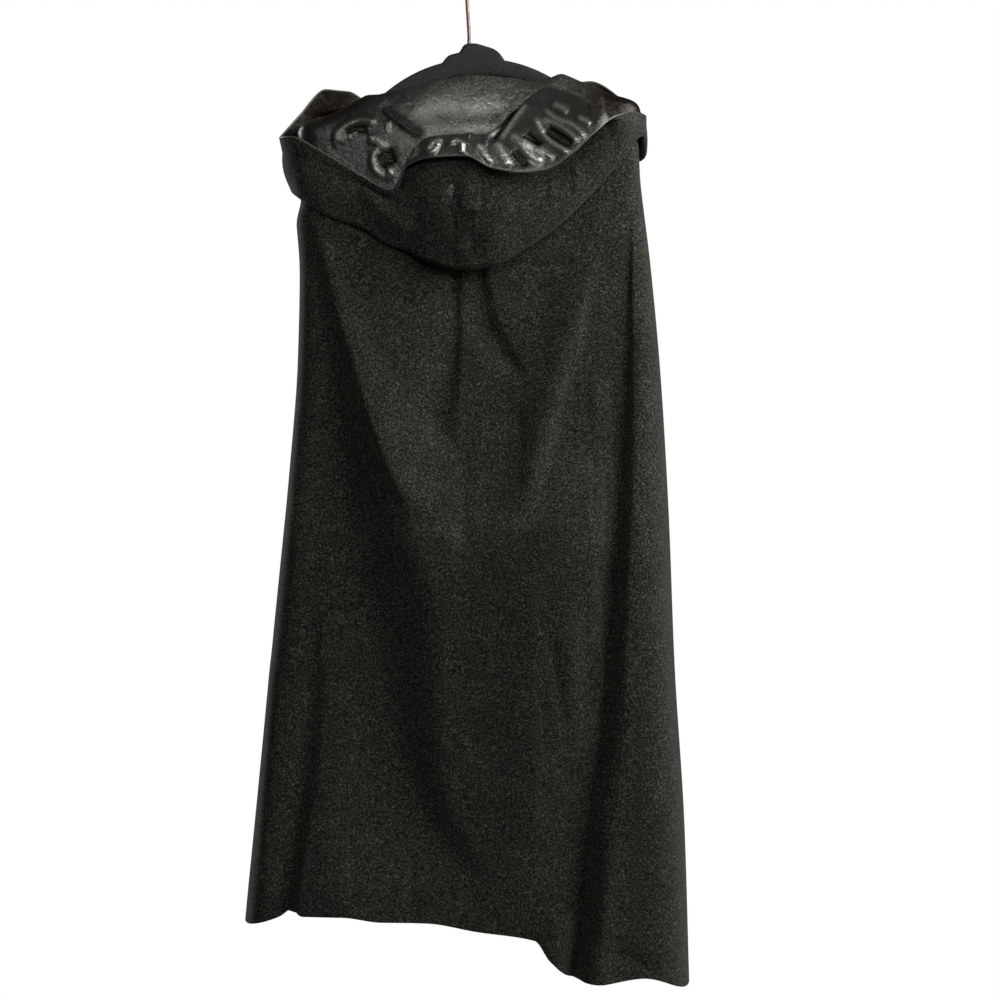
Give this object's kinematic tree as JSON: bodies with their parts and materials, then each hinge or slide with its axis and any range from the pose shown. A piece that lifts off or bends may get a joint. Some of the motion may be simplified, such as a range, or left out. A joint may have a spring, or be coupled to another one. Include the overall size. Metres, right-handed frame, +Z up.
{
  "type": "hooded cloak on a hanger",
  "caption": "Full-length hooded wool cloak, open down the front, its satin-lined hood hanging open down the back, on a moulded hanger with a wire hook.",
  "frame": {"origin": "the inside top of the hanger's hook, where a rail carries it", "axes": "+Z up; -Y is the cloak's back, with the open hood; +X is the wearer's right"},
  "size_m": [0.574, 0.218, 1.3361],
  "materials": {
    "wool": "black coating wool, milled, matt, with a short nap",
    "satin": "black lining satin, glossy",
    "moulding": "black moulded plastic",
    "wire": "bronzed steel wire",
    "button": "black, polished"
  },
  "bodies": {
    "root": {"back_left": "wool", "back_right": "wool", "front_left": "wool", "front_right": "wool", "hood_left": "wool", "hood_right": "wool", "lining_left": "satin", "lining_right": "satin", "neck_tab": "wool", "neck_button": "button", "hanger_bar": "moulding", "hanger_hook": "wire"}
  },
  "joints": []
}
